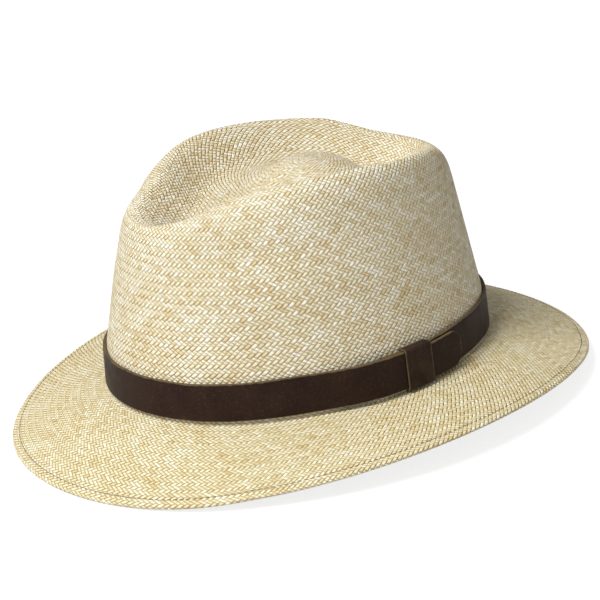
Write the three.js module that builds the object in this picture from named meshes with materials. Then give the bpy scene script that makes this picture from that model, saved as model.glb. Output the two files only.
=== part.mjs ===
// Woven straw hat with a teardrop crown, a leather band with a sliding keeper, and a sweatband.
// Millimetres, +Z up. The front of the hat is -Y and the wearer's left is +X.
// The origin is the centre of the head opening, level with the line where crown and brim meet.
import * as THREE from "three";
import { mergeVertices } from "three/addons/utils/BufferGeometryUtils.js";

// Head oval: the sweatband's inner face, an oval of four arcs
const HEAD_LENGTH = 203;
const HEAD_WIDTH = 163.5;
const HEAD_END_RADIUS = 73;

// Sheet thicknesses and the clearance left between pieces that touch
const STRAW_THICKNESS = 1.2;
const SWEATBAND_THICKNESS = 0.9;
const BAND_THICKNESS = 1.8;
const KEEPER_THICKNESS = 0.7;
const TOUCH_GAP = 0.3;
const SWEATBAND_GAP = 0.4;

// Crown: each row of numbers is read at these angles round the head, from the front to the back
const CROWN_ANGLES = [0, 25, 50, 80, 115, 150, 180];
const RIDGE_HEIGHT = [91, 94.6, 101.7, 110, 106, 97.2, 94.8];
const RIDGE_INSET = [19.3, 27, 34.5, 26.5, 19.8, 21.4, 18.5];
const SHOULDER_HEIGHT = [12, 16, 22, 24, 22, 17, 15];
const GROOVE_FLOOR = [79, 80, 86, 91, 89, 84, 80];
const GROOVE_WIDTH = [28, 24, 21, 22, 23, 23, 22];
const MOUND_REACH = [52, 45, 36, 34, 36, 40, 42];
const MOUND_CENTRE_Y = 18;
const MOUND_HEIGHT = 102;
const MOUND_FULLNESS = 1.4;
const BASE_HEIGHT = 22;
const BASE_LEAN = 0.052;
const WALL_TAPER = 0.206;
const WALL_TAPER_FRONT = 0.025;
const DENT_DEPTH = 4;
const DENT_ANGLE = 52;
const DENT_SPREAD = 20;
const DENT_HEIGHT = 82;
const DENT_TALLNESS = 14;

// Brim: width beyond the crown, and the height of its edge as terms in cosines of the angle
const BREAK_RADIUS = 1.5;
const BRIM_WIDTH = 52.7;
const BRIM_WIDTH_FRONT = -0.8;
const BRIM_WIDTH_FRONT_BACK = 2.3;
const BRIM_EDGE_HEIGHT = [-13.1, -2.4, -6.2, 1.4, 1.2];
const BRIM_CURVE = 1.25;
const HEM_WIDTH = 6;
const HEM_STITCH_INSET = 4.3;
const THREAD_RADIUS = 0.25;

// Leather band and its keeper; angles are from the front of the hat towards the wearer's left
const BAND_HEIGHT = 19;
const BAND_BOTTOM = 2.4;
const KEEPER_ANGLE = 95.8;
const KEEPER_WIDTH = 16.5;
const KEEPER_TRAVEL = 8;
const TONGUE_LENGTH = 23.5;
const TONGUE_CORNER = 7;
const UNDERLAP = 14;
const BAND_RAMP = 18;
const STANDOFF_RAMP = 12;

// Sweatband and what holds it
const SWEATBAND_HEIGHT = 33;
const SWEATBAND_BOTTOM = 0.4;
const REED_RADIUS = 0.6;
const BINDING_THICKNESS = 0.35;
const BINDING_LEG = 3;
const SEAM_WIDTH = 3.2;
const SEAM_STEP = 3.4;

// Fineness of the model
const AROUND = 60;
const THREAD_SIDES = 5;

// Offsets outwards from the head oval, each from the piece inside it
const STRAW_IN = SWEATBAND_THICKNESS + SWEATBAND_GAP;
const STRAW_OUT = STRAW_IN + STRAW_THICKNESS;
const HUG = STRAW_OUT + TOUCH_GAP;
const KEEPER_BACK = HUG + KEEPER_THICKNESS;
const STANDOFF = KEEPER_BACK + TOUCH_GAP;
const OUTER_LAYER = STANDOFF + BAND_THICKNESS + TOUCH_GAP;
const KEEPER_FRONT = OUTER_LAYER + BAND_THICKNESS + TOUCH_GAP;

const rad = THREE.MathUtils.degToRad;
const deg = THREE.MathUtils.radToDeg;
const clamp = THREE.MathUtils.clamp;

const SIDE_ARC = sideArc();
const BAND_RADIUS = SIDE_ARC.radius + STANDOFF;

function material(color, roughness) {
  return new THREE.MeshStandardMaterial({ color, roughness, metalness: 0 });
}

const STRAW = material(0xe6d5ae, 0.75);
const HEM_THREAD = material(0xe9dcc0, 0.8);
const LEATHER = material(0x3a2a24, 0.5);
const SWEAT_LEATHER = material(0xb58d5e, 0.6);
const BINDING = material(0xcdb68e, 0.85);
const REED = material(0xe8e4d8, 0.4);
const SEAM_THREAD = material(0xd9c8a2, 0.8);

// The side arcs' radius, the offset of their centres across the head, and the angle they end at
function sideArc() {
  const along = HEAD_LENGTH / 2 - HEAD_END_RADIUS;
  const half = HEAD_WIDTH / 2;
  const radius =
    (along * along + half * half - HEAD_END_RADIUS * HEAD_END_RADIUS) /
    (2 * (half - HEAD_END_RADIUS));
  const centre = radius - half;
  return { radius, centre, along, ends: Math.atan2(centre, along) };
}

// A point on the head oval moved out by an offset; the angle is that of the oval's normal
function ovalPoint(angle, offset) {
  const a = Math.atan2(Math.sin(angle), Math.cos(angle));
  const side = Math.sign(a) || 1;
  const turn = Math.abs(a);
  let cx = -SIDE_ARC.centre * side;
  let cy = 0;
  let r = SIDE_ARC.radius;
  if (turn < SIDE_ARC.ends || turn > Math.PI - SIDE_ARC.ends) {
    cx = 0;
    cy = turn < SIDE_ARC.ends ? -SIDE_ARC.along : SIDE_ARC.along;
    r = HEAD_END_RADIUS;
  }
  return [cx + (r + offset) * Math.sin(a), cy - (r + offset) * Math.cos(a)];
}

// A smooth value from a row of numbers, the same on both sides of the hat
function around(row, angle) {
  const a = Math.abs(deg(Math.atan2(Math.sin(angle), Math.cos(angle))));
  const last = CROWN_ANGLES.length - 1;
  let i = 0;
  while (i < last - 1 && a > CROWN_ANGLES[i + 1]) i++;
  const slope = (k) =>
    k === 0 || k === last
      ? 0
      : (row[k + 1] - row[k - 1]) / (CROWN_ANGLES[k + 1] - CROWN_ANGLES[k - 1]);
  const span = CROWN_ANGLES[i + 1] - CROWN_ANGLES[i];
  const t = (a - CROWN_ANGLES[i]) / span;
  const t2 = t * t;
  const t3 = t2 * t;
  return (
    (2 * t3 - 3 * t2 + 1) * row[i] +
    (t3 - 2 * t2 + t) * span * slope(i) +
    (3 * t2 - 2 * t3) * row[i + 1] +
    (t3 - t2) * span * slope(i + 1)
  );
}

function smooth(x) {
  const t = clamp(x, 0, 1);
  return t * t * (3 - 2 * t);
}

function wallTaper(angle) {
  return WALL_TAPER + WALL_TAPER_FRONT * Math.cos(angle);
}

// The wall's lean alone: nearly upright at the base, more above it
function wallLean(angle, z) {
  return clamp(z, 0, BASE_HEIGHT) * BASE_LEAN + Math.max(0, z - BASE_HEIGHT) * wallTaper(angle);
}

// How far the wall has come in from the base at a height
function wallInset(angle, z) {
  const a = Math.abs(deg(Math.atan2(Math.sin(angle), Math.cos(angle))));
  const across = Math.exp(-(((a - DENT_ANGLE) / DENT_SPREAD) ** 2));
  const up = Math.exp(-(((z - DENT_HEIGHT) / DENT_TALLNESS) ** 2));
  return wallLean(angle, z) + DENT_DEPTH * across * up;
}

function wallPoint(angle, z) {
  const [x, y] = ovalPoint(angle, STRAW_OUT - wallInset(angle, z));
  return new THREE.Vector3(x, y, z);
}

function ridgePoint(angle) {
  const [x, y] = ovalPoint(angle, STRAW_OUT - around(RIDGE_INSET, angle));
  return new THREE.Vector3(x, y, around(RIDGE_HEIGHT, angle));
}

function shoulderStart(angle) {
  return around(RIDGE_HEIGHT, angle) - around(SHOULDER_HEIGHT, angle);
}

// The rounded shoulder between the wall and the ridge, t from 0 at the wall to 1 at the ridge
function shoulderPoint(angle, t) {
  const tall = around(SHOULDER_HEIGHT, angle);
  const z0 = shoulderStart(angle);
  const i0 = wallInset(angle, z0);
  const i3 = around(RIDGE_INSET, angle);
  const lean = wallInset(angle, z0 + 1) - i0;
  const inset = new THREE.CubicBezierCurve(
    new THREE.Vector2(i0, z0),
    new THREE.Vector2(i0 + 0.5 * tall * lean, z0 + 0.5 * tall),
    new THREE.Vector2(i3 - 0.6 * Math.max(i3 - i0, 2), z0 + tall),
    new THREE.Vector2(i3, z0 + tall),
  ).getPoint(t);
  const [x, y] = ovalPoint(angle, STRAW_OUT - inset.x);
  return new THREE.Vector3(x, y, inset.y);
}

// The top inside the ridge: the teardrop groove and the mound, u from 0 at the middle to 1 at the ridge
function topPoint(angle, u) {
  const ridge = ridgePoint(angle);
  const middle = new THREE.Vector3(0, MOUND_CENTRE_Y, ridge.z);
  const p = middle.clone().lerp(ridge, u);
  const length = middle.distanceTo(ridge);
  const groove = smooth((length * (1 - u)) / around(GROOVE_WIDTH, angle));
  const mound = 1 - smooth(((length * u) / around(MOUND_REACH, angle)) ** MOUND_FULLNESS);
  p.z += (around(GROOVE_FLOOR, angle) - p.z) * groove;
  p.z += (MOUND_HEIGHT - p.z) * mound;
  return p;
}

function brimWidth(angle) {
  return (
    BRIM_WIDTH +
    BRIM_WIDTH_FRONT * Math.cos(angle) +
    BRIM_WIDTH_FRONT_BACK * Math.cos(2 * angle)
  );
}

// A point on top of the brim, a distance out from the crown's wall
function brimPoint(angle, out) {
  const edge = BRIM_EDGE_HEIGHT.reduce((s, c, k) => s + c * Math.cos(k * angle), 0);
  const t = (out - BREAK_RADIUS) / (brimWidth(angle) - BREAK_RADIUS);
  const [x, y] = ovalPoint(angle, STRAW_OUT + out);
  return new THREE.Vector3(x, y, edge * t ** BRIM_CURVE);
}

function breakPoint(angle, turn) {
  const z = BREAK_RADIUS * (1 - Math.sin(turn));
  const out = BREAK_RADIUS * (1 - Math.cos(turn)) - wallLean(angle, z);
  const [x, y] = ovalPoint(angle, STRAW_OUT + out);
  return new THREE.Vector3(x, y, z);
}

// The rows of the straw's upper surface, from the middle of the crown out to the brim's edge
function strawRows() {
  const rows = [];
  for (let i = 1; i <= 9; i++) rows.push((a) => topPoint(a, (i / 10) ** 0.9));
  for (let i = 4; i >= 1; i--) rows.push((a) => shoulderPoint(a, i / 4));
  for (let i = 0; i <= 5; i++) {
    const t = i / 5;
    rows.push((a) => wallPoint(a, shoulderStart(a) * (1 - t) + BASE_HEIGHT * t));
  }
  for (let i = 0; i <= 3; i++) rows.push((a) => breakPoint(a, (i / 3) * (Math.PI / 2)));
  for (const t of [0.12, 0.3, 0.52, 0.76]) {
    rows.push((a) => brimPoint(a, BREAK_RADIUS + t * (brimWidth(a) - HEM_WIDTH - BREAK_RADIUS)));
  }
  rows.push((a) => brimPoint(a, brimWidth(a) - HEM_WIDTH));
  rows.push((a) => brimPoint(a, brimWidth(a)));
  return rows;
}

// A mesh geometry from points and triangles, checked and normalled by three.js
function geometryOf(points, faces) {
  const g = new THREE.BufferGeometry();
  g.setAttribute("position", new THREE.Float32BufferAttribute(points.flat(), 3));
  g.setIndex(faces.flat());
  g.computeVertexNormals();
  return g;
}

// Two triangles for each square between a ring of points and the next
function ringFaces(inner, outer, count, flip) {
  const faces = [];
  for (let j = 0; j < count; j++) {
    const k = (j + 1) % count;
    const [a, b, c, d] = [inner + j, inner + k, outer + k, outer + j];
    faces.push(flip ? [a, b, c] : [a, c, b], flip ? [a, c, d] : [a, d, c]);
  }
  return faces;
}

const flat = (v) => [v.x, v.y, v.z];
const angleAt = (j) => (j / AROUND) * 2 * Math.PI;

// The upper surface of the straw with a unit normal at each point; the first point is the middle
function strawSheet() {
  const points = [[0, MOUND_CENTRE_Y, MOUND_HEIGHT]];
  const rows = strawRows();
  for (const row of rows) {
    for (let j = 0; j < AROUND; j++) points.push(flat(row(angleAt(j))));
  }
  const faces = [];
  for (let j = 0; j < AROUND; j++) faces.push([0, 1 + j, 1 + ((j + 1) % AROUND)]);
  for (let i = 0; i + 1 < rows.length; i++) {
    faces.push(...ringFaces(1 + i * AROUND, 1 + (i + 1) * AROUND, AROUND, false));
  }
  const normals = geometryOf(points, faces).getAttribute("normal");
  return { points, faces, normals, count: rows.length };
}

// The straw body: the sheet, its underside, and the hem folded under along the edge
function strawBody() {
  const { points, faces, normals, count } = strawSheet();
  const hem = (count - 2) * AROUND + 1;
  const edge = (count - 1) * AROUND + 1;
  const all = points.slice();
  const below = (i, depth) => {
    const n = new THREE.Vector3().fromBufferAttribute(normals, i);
    all.push(flat(new THREE.Vector3(...points[i]).addScaledVector(n, -depth)));
  };
  for (let i = 0; i < edge; i++) below(i, STRAW_THICKNESS);
  const under = points.length;
  const step = all.length;
  for (let j = 0; j < AROUND; j++) below(hem + j, 2 * STRAW_THICKNESS);
  const lip = all.length;
  for (let j = 0; j < AROUND; j++) below(edge + j, 2 * STRAW_THICKNESS);
  const joined = faces.slice();
  for (const f of faces) {
    if (Math.max(...f) < edge) joined.push([f[0] + under, f[2] + under, f[1] + under]);
  }
  joined.push(...ringFaces(under + hem, step, AROUND, true));
  joined.push(...ringFaces(step, lip, AROUND, true));
  joined.push(...ringFaces(lip, edge, AROUND, true));
  return geometryOf(all, joined);
}

// A closed ring round the head: a section of points, each giving a place for an angle
function ring(section) {
  const n = section.length;
  const points = [];
  const faces = [];
  for (let j = 0; j < AROUND; j++) {
    for (const at of section) points.push(flat(at(angleAt(j))));
  }
  for (let j = 0; j < AROUND; j++) {
    const k = (j + 1) % AROUND;
    for (let i = 0; i < n; i++) {
      const m = (i + 1) % n;
      const [a, b, c, d] = [j * n + i, k * n + i, k * n + m, j * n + m];
      faces.push([a, b, c], [a, c, d]);
    }
  }
  return geometryOf(points, faces);
}

// A bar along the head: the sections at a list of places, closed at both ends
function bar(sections) {
  const n = sections[0].length;
  const points = sections.flat();
  const faces = [];
  for (let j = 0; j + 1 < sections.length; j++) {
    for (let i = 0; i < n; i++) {
      const m = (i + 1) % n;
      const [a, b, c, d] = [j * n + i, (j + 1) * n + i, (j + 1) * n + m, j * n + m];
      faces.push([a, b, c], [a, c, d]);
    }
  }
  const end = (sections.length - 1) * n;
  for (let i = 1; i + 1 < n; i++) faces.push([0, i, i + 1], [end, end + i + 1, end + i]);
  return geometryOf(points, faces);
}

// A point at a height and at an offset that follows the wall's lean
function at(offset, z) {
  return (a) => {
    const [x, y] = ovalPoint(a, offset - wallLean(a, z));
    return new THREE.Vector3(x, y, z);
  };
}

// A round thread or rod that follows a path round the head
function roundSection(centre, radius) {
  const section = [];
  for (let i = 0; i < THREAD_SIDES; i++) {
    const t = (i / THREAD_SIDES) * 2 * Math.PI;
    section.push((a) => {
      const out = new THREE.Vector3(Math.sin(a), -Math.cos(a), 0);
      const p = centre(a).addScaledVector(out, radius * Math.cos(t));
      p.z += radius * Math.sin(t);
      return p;
    });
  }
  return section;
}

// The stitch line's thread, above the brim or under its hem
function hemThread(side) {
  const depth = side > 0 ? 0 : 2 * STRAW_THICKNESS;
  const centre = (a) => {
    const out = brimWidth(a) - HEM_STITCH_INSET;
    const p = brimPoint(a, out);
    const slope = brimPoint(a, out + 1).z - p.z;
    const clear = (depth + TOUCH_GAP + THREAD_RADIUS) * Math.hypot(1, slope);
    p.z += side * clear;
    return p;
  };
  return ring(roundSection(centre, THREAD_RADIUS));
}

// Angle taken up by a length along the band where it passes the side of the head
function bandAngle(length) {
  return deg(length / BAND_RADIUS);
}

const TRAVEL_ANGLE = bandAngle(KEEPER_TRAVEL);
const KEEPER_HALF = bandAngle(KEEPER_WIDTH / 2);
const ZONE_START = KEEPER_ANGLE - KEEPER_HALF - TRAVEL_ANGLE - bandAngle(UNDERLAP - 10);
const ZONE_END = KEEPER_ANGLE + KEEPER_HALF + TRAVEL_ANGLE;
const TONGUE_END = KEEPER_ANGLE + KEEPER_HALF + bandAngle(TONGUE_LENGTH);

// Inner face of the band: it hugs the crown, stands off behind the keeper, and laps over its own end
function bandInner(angle) {
  if (angle <= 180) {
    return STANDOFF + (HUG - STANDOFF) * smooth((angle - ZONE_END) / STANDOFF_RAMP);
  }
  const start = 360 + ZONE_START - BAND_RAMP;
  return HUG + (OUTER_LAYER - HUG) * smooth((angle - start) / BAND_RAMP);
}

// How much the band's edge is cut back at its tongue, for the rounded corners
function tongueCut(angle) {
  const left = (360 + TONGUE_END - angle) / bandAngle(1);
  if (left >= TONGUE_CORNER) return 0;
  return TONGUE_CORNER - Math.sqrt(Math.max(0, TONGUE_CORNER ** 2 - (TONGUE_CORNER - left) ** 2));
}

function bandAngles() {
  const list = [];
  const add = (from, to, step) => {
    const n = Math.max(1, Math.round((to - from) / step));
    for (let i = 0; i < n; i++) list.push(from + ((to - from) * i) / n);
  };
  const corner = bandAngle(TONGUE_CORNER);
  add(ZONE_START, ZONE_END, 3);
  add(ZONE_END, 132, 3);
  add(132, 360 + ZONE_START - BAND_RAMP, 6);
  add(360 + ZONE_START - BAND_RAMP, 360 + ZONE_START, 3);
  add(360 + ZONE_START, 360 + TONGUE_END - corner, 3);
  for (const t of [0, 0.3, 0.6, 0.85, 1]) list.push(360 + TONGUE_END - corner * (1 - t));
  return list;
}

function bandStrap() {
  const sections = bandAngles().map((angle) => {
    const a = rad(angle);
    const inner = bandInner(angle);
    const cut = tongueCut(angle);
    const low = BAND_BOTTOM + cut;
    const high = BAND_BOTTOM + BAND_HEIGHT - cut;
    const outer = inner + BAND_THICKNESS;
    return [
      flat(at(inner, low)(a)),
      flat(at(outer, low)(a)),
      flat(at(outer, high)(a)),
      flat(at(inner, high)(a)),
    ];
  });
  return bar(sections);
}

// The keeper: a flat loop of leather round both layers of the band
function bandKeeper() {
  const window = [
    [KEEPER_BACK, BAND_BOTTOM - TOUCH_GAP],
    [KEEPER_FRONT, BAND_BOTTOM - TOUCH_GAP],
    [KEEPER_FRONT, BAND_BOTTOM + BAND_HEIGHT + TOUCH_GAP],
    [KEEPER_BACK, BAND_BOTTOM + BAND_HEIGHT + TOUCH_GAP],
  ];
  const grow = [[-1, -1], [1, -1], [1, 1], [-1, 1]];
  const outline = window.map(([d, z], i) => [
    d + grow[i][0] * KEEPER_THICKNESS,
    z + grow[i][1] * KEEPER_THICKNESS,
  ]);
  const steps = 4;
  const points = [];
  for (let j = 0; j <= steps; j++) {
    const a = rad(KEEPER_ANGLE + KEEPER_HALF * ((2 * j) / steps - 1));
    for (const [d, z] of [...outline, ...window]) points.push(flat(at(d, z)(a)));
  }
  const faces = [];
  for (let j = 0; j < steps; j++) {
    for (let i = 0; i < 4; i++) {
      const m = (i + 1) % 4;
      const [a, b, c, d] = [j * 8 + i, j * 8 + 8 + i, j * 8 + 8 + m, j * 8 + m];
      faces.push([a, b, c], [a, c, d]);
      faces.push([a + 4, c + 4, b + 4], [a + 4, d + 4, c + 4]);
    }
  }
  for (let i = 0; i < 4; i++) {
    const m = (i + 1) % 4;
    const e = steps * 8;
    faces.push([i, m, m + 4], [i, m + 4, i + 4]);
    faces.push([e + i, e + m + 4, e + m], [e + i, e + i + 4, e + m + 4]);
  }
  return geometryOf(points, faces);
}

function sweatband() {
  const top = SWEATBAND_BOTTOM + SWEATBAND_HEIGHT;
  return ring([
    at(0, SWEATBAND_BOTTOM),
    at(SWEATBAND_THICKNESS, SWEATBAND_BOTTOM),
    at(SWEATBAND_THICKNESS, BASE_HEIGHT),
    at(SWEATBAND_THICKNESS, top),
    at(0, top),
    at(0, BASE_HEIGHT),
  ]);
}

const REED_Z = SWEATBAND_BOTTOM - TOUCH_GAP - REED_RADIUS;
const REED_OFFSET = SWEATBAND_THICKNESS / 2;

function sweatbandReed() {
  return ring(roundSection(at(REED_OFFSET, REED_Z), REED_RADIUS));
}

// The binding: a tape folded under the reed, with a longer leg on the sweatband's face
function sweatbandBinding() {
  const inner = -TOUCH_GAP;
  const outer = REED_OFFSET + REED_RADIUS + 0.15;
  const floor = REED_Z - REED_RADIUS - TOUCH_GAP;
  const t = BINDING_THICKNESS;
  return ring([
    at(inner - t, floor - t),
    at(outer + t, floor - t),
    at(outer + t, REED_Z + REED_RADIUS / 2),
    at(outer, REED_Z + REED_RADIUS / 2),
    at(outer, floor),
    at(inner, floor),
    at(inner, SWEATBAND_BOTTOM + BINDING_LEG),
    at(inner - t, SWEATBAND_BOTTOM + BINDING_LEG),
  ]);
}

function sweatbandStitch() {
  const offset = -2 * TOUCH_GAP - BINDING_THICKNESS - THREAD_RADIUS;
  const z = SWEATBAND_BOTTOM + BINDING_LEG / 2;
  return ring(roundSection(at(offset, z), THREAD_RADIUS));
}

// Zigzag stitching over the butted ends of the sweatband, at the back
function sweatbandSeam() {
  const first = SWEATBAND_BOTTOM + BINDING_LEG + 2;
  const last = SWEATBAND_BOTTOM + SWEATBAND_HEIGHT - 2;
  const count = Math.max(2, Math.round((last - first) / SEAM_STEP));
  const sections = [];
  for (let i = 0; i <= count; i++) {
    const z = first + ((last - first) * i) / count;
    const side = i % 2 ? 1 : -1;
    const centre = at(-TOUCH_GAP - THREAD_RADIUS, z)(Math.PI);
    const section = [];
    for (let k = 0; k < THREAD_SIDES; k++) {
      const t = (k / THREAD_SIDES) * 2 * Math.PI;
      section.push([
        centre.x + (side * SEAM_WIDTH) / 2 + 1.6 * THREAD_RADIUS * Math.cos(t),
        centre.y + THREAD_RADIUS * Math.sin(t),
        z,
      ]);
    }
    sections.push(section);
  }
  return bar(sections);
}

// Each solid faces outwards whichever way round its sections run
function outward(geometry) {
  const p = geometry.getAttribute("position");
  const index = geometry.index.array;
  const [a, b, c] = [new THREE.Vector3(), new THREE.Vector3(), new THREE.Vector3()];
  let volume = 0;
  for (let i = 0; i < index.length; i += 3) {
    a.fromBufferAttribute(p, index[i]);
    b.fromBufferAttribute(p, index[i + 1]);
    c.fromBufferAttribute(p, index[i + 2]);
    volume += a.dot(b.cross(c));
  }
  if (volume < 0) {
    for (let i = 0; i < index.length; i += 3) {
      [index[i + 1], index[i + 2]] = [index[i + 2], index[i + 1]];
    }
  }
  geometry.computeVertexNormals();
  return mergeVertices(geometry);
}

const group = new THREE.Group();

function add(name, geometry, mat) {
  const mesh = new THREE.Mesh(outward(geometry), mat);
  mesh.name = name;
  group.add(mesh);
}

add("straw_body", strawBody(), STRAW);
add("hem_thread_top", hemThread(1), HEM_THREAD);
add("hem_thread_under", hemThread(-1), HEM_THREAD);
add("band_strap", bandStrap(), LEATHER);
add("band_keeper", bandKeeper(), LEATHER);
add("sweatband", sweatband(), SWEAT_LEATHER);
add("sweatband_binding", sweatbandBinding(), BINDING);
add("sweatband_reed", sweatbandReed(), REED);
add("sweatband_stitch", sweatbandStitch(), SEAM_THREAD);
add("sweatband_back_seam", sweatbandSeam(), SEAM_THREAD);

export default group;
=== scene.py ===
import math

import bpy
import numpy as np
from bpy.props import FloatProperty, FloatVectorProperty, PointerProperty
from bpy.types import Operator, Panel, PropertyGroup
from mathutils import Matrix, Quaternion, Vector


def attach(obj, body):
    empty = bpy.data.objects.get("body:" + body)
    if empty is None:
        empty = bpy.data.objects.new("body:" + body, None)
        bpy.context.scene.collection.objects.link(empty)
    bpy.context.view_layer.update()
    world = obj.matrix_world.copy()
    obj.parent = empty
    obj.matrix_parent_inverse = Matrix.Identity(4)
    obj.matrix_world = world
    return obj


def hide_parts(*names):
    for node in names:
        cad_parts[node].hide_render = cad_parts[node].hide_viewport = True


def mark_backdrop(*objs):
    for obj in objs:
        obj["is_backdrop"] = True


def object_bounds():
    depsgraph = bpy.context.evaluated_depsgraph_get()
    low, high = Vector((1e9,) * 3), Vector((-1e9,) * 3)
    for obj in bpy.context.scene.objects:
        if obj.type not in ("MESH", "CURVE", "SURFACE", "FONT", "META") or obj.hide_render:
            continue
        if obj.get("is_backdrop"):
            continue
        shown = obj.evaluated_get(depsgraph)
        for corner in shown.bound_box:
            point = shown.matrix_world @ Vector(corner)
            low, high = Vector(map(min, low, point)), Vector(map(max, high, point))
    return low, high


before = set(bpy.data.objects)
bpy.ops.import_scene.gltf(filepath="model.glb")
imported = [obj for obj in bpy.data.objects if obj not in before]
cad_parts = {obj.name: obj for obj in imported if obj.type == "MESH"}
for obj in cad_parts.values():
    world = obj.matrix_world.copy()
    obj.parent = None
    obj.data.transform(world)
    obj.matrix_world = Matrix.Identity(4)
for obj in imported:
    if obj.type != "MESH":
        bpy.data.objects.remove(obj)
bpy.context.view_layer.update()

bl_info = {
    "name": "Woven Straw Hat",
    "version": (1, 0, 0),
    "blender": (4, 5, 0),
    "location": "View3D > Sidebar > Straw Hat",
    "description": "A woven straw hat with a leather band, its keeper and a sweatband",
    "category": "Add Mesh",
}

# The front of the hat is -Y, the wearer's left is +X, and angles run from the front to that side.
CROWN_ANGLES = np.radians([0, 25, 50, 80, 115, 150, 180])
MM = 0.001

# The two pinches: where they lie round the crown in degrees and how high, and how far they spread
PINCH_ANGLE, PINCH_SPREAD = 52, 20
PINCH_HEIGHT, PINCH_TALL = 0.082, 0.014

MOUND_FULLNESS = 1.4

# The brim: heights of the waves that repeat 0 to 4 times round its edge, its droop, and what widens it
BRIM_WAVES = (-0.0131, -0.0024, -0.0062, 0.0014, 0.0012)
BRIM_CURVE = 1.25
BRIM_WIDTH_FRONT, BRIM_WIDTH_FRONT_BACK = -0.0008, 0.0023
HEM_PLAY = 0.05 * MM

# The weave: rows of faces over the crown's top, and how many strands lie side by side round each part
TOP_ROWS = 52
WALL_STRANDS, RIDGE_STRANDS = 182, 164
BRIM_STRANDS = ((0.27, 226), (0.6, 266), (1.0, 306))
RIDGE_SHARE, RING_SHRINK = 0.93, 0.8
RIDGE_ROUND = 0.46
TOP_STRAND_FINENESS, TOP_ROW_FINENESS = 1.05, 1.25
TOP_ROW_START = -600
ROW_LEAN = 0.2

# The strap: its underlap past the keeper, and the degrees in which it closes on the crown and laps its end
UNDERLAP = 0.004
CLOSING_TURN, LAPPING_TURN = 12, 18
STRAP_CORNER, KEEPER_CORNER, SWEATBAND_CORNER = 0.00045, 0.0013, 0.0003
STRAP_WAVE, TONGUE_DROP = 0.00012, 0.0007

SWEATBAND_BOTTOM = 0.0004
REED_RADIUS = 0.0006
TAPE_THICKNESS, TAPE_LEG, TAPE_SLACK = 0.00035, 0.003, 0.00015

# Stitches: length, width and height of one, their spacing, and how far they stand up and wander
HEM_STITCH, SWEATBAND_STITCH = (0.0025, 0.0006, 0.0004), (0.0023, 0.0005, 0.0004)
STITCH_PITCH = 0.0031
STITCH_LIFT, STITCH_WANDER = 0.00008, 0.00012
PATH_STEPS = 720


def length(name, description, default):
    return FloatProperty(name=name, description=description, default=default, unit="LENGTH", precision=4)


def crown_row(name, description, default):
    return FloatVectorProperty(name=name, description=description, default=default, size=7)


def colour(name, description, default):
    return FloatVectorProperty(
        name=name, description=description, default=default, size=3, subtype="COLOR", min=0, max=1
    )


class HatShape(PropertyGroup):
    """Sizes of the straw body"""

    head_length: length("Head length", "Length of the head opening", 0.203)
    head_width: length("Head width", "Width of the head opening", 0.1635)
    head_end_radius: length("End radius", "Radius of the head oval at its front and back", 0.073)
    straw_thickness: length("Straw thickness", "Thickness of the woven straw", 0.0011)
    straw_out: length("Straw face", "Outside of the straw, out from the head oval", 0.0025)
    ridge_height: crown_row(
        "Ridge height",
        "Height of the crown's ridge, front to back",
        (0.091, 0.0946, 0.1017, 0.11, 0.106, 0.0972, 0.0948),
    )
    ridge_inset: crown_row(
        "Ridge inset",
        "How far in the ridge lies, front to back",
        (0.0193, 0.027, 0.0345, 0.0265, 0.0198, 0.0214, 0.0185),
    )
    shoulder: crown_row(
        "Shoulder",
        "Height of the rounded shoulder, front to back",
        (0.012, 0.016, 0.022, 0.024, 0.022, 0.017, 0.015),
    )
    groove_floor: crown_row(
        "Crease floor",
        "Height of the crease's floor, front to back",
        (0.079, 0.08, 0.086, 0.091, 0.089, 0.084, 0.08),
    )
    groove_width: crown_row(
        "Crease width",
        "Width of the crease's outer slope, front to back",
        (0.028, 0.024, 0.021, 0.022, 0.023, 0.023, 0.022),
    )
    mound_reach: crown_row(
        "Mound reach",
        "Reach of the middle mound, front to back",
        (0.052, 0.045, 0.036, 0.034, 0.036, 0.04, 0.042),
    )
    mound_centre: length("Mound centre", "How far back the mound's middle lies", 0.018)
    mound_height: length("Mound height", "Height of the mound", 0.102)
    base_height: length("Base height", "Height of the nearly upright part of the wall", 0.022)
    base_lean: FloatProperty(name="Base lean", description="Lean of the upright part", default=0.052)
    wall_taper: FloatProperty(name="Wall taper", description="Lean of the wall above it", default=0.206)
    wall_taper_front: FloatProperty(name="Front taper", description="Added lean at the front", default=0.025)
    dent_depth: length("Pinch depth", "Depth of the two pinches beside the crease's point", 0.004)
    break_radius: length("Break radius", "Radius where the crown meets the brim", 0.0015)
    brim_width: length("Brim width", "Mean width of the brim", 0.0527)
    hem_width: length("Hem width", "Width folded under at the brim's edge", 0.006)
    stitch_inset: length("Stitch inset", "How far in from the edge the hem is sewn", 0.0043)
    weave_step: length("Weave step", "Height that a strand climbs while it passes one other", 0.0022)
    weave_pitch: length("Weave pitch", "Distance between strands along a row", 0.0028)


class BandShape(PropertyGroup):
    """Sizes of the leather band, its keeper and the sweatband"""

    height: length("Band height", "Height of the leather band", 0.019)
    bottom: length("Band bottom", "Height of its lower edge", 0.0024)
    thickness: length("Band thickness", "Thickness of its leather", 0.0018)
    keeper_thickness: length("Keeper thickness", "Thickness of the keeper's leather", 0.0007)
    keeper_width: length("Keeper width", "Width of the keeper along the band", 0.0165)
    keeper_angle: FloatProperty(
        name="Keeper angle", description="Place of the keeper in degrees from the front", default=95.8
    )
    keeper_travel: length("Keeper travel", "How far the keeper slides each way", 0.008)
    tongue_length: length("Tongue length", "Length of band beyond the keeper", 0.0235)
    tongue_corner: length("Tongue corner", "Radius of the tongue's corners", 0.007)
    gap: length("Gap", "Space between pieces that touch", 0.0003)
    sweatband_height: length("Sweatband height", "Height of the sweatband", 0.033)
    sweatband_thickness: length("Sweatband thickness", "Thickness of the sweatband", 0.0009)


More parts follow.
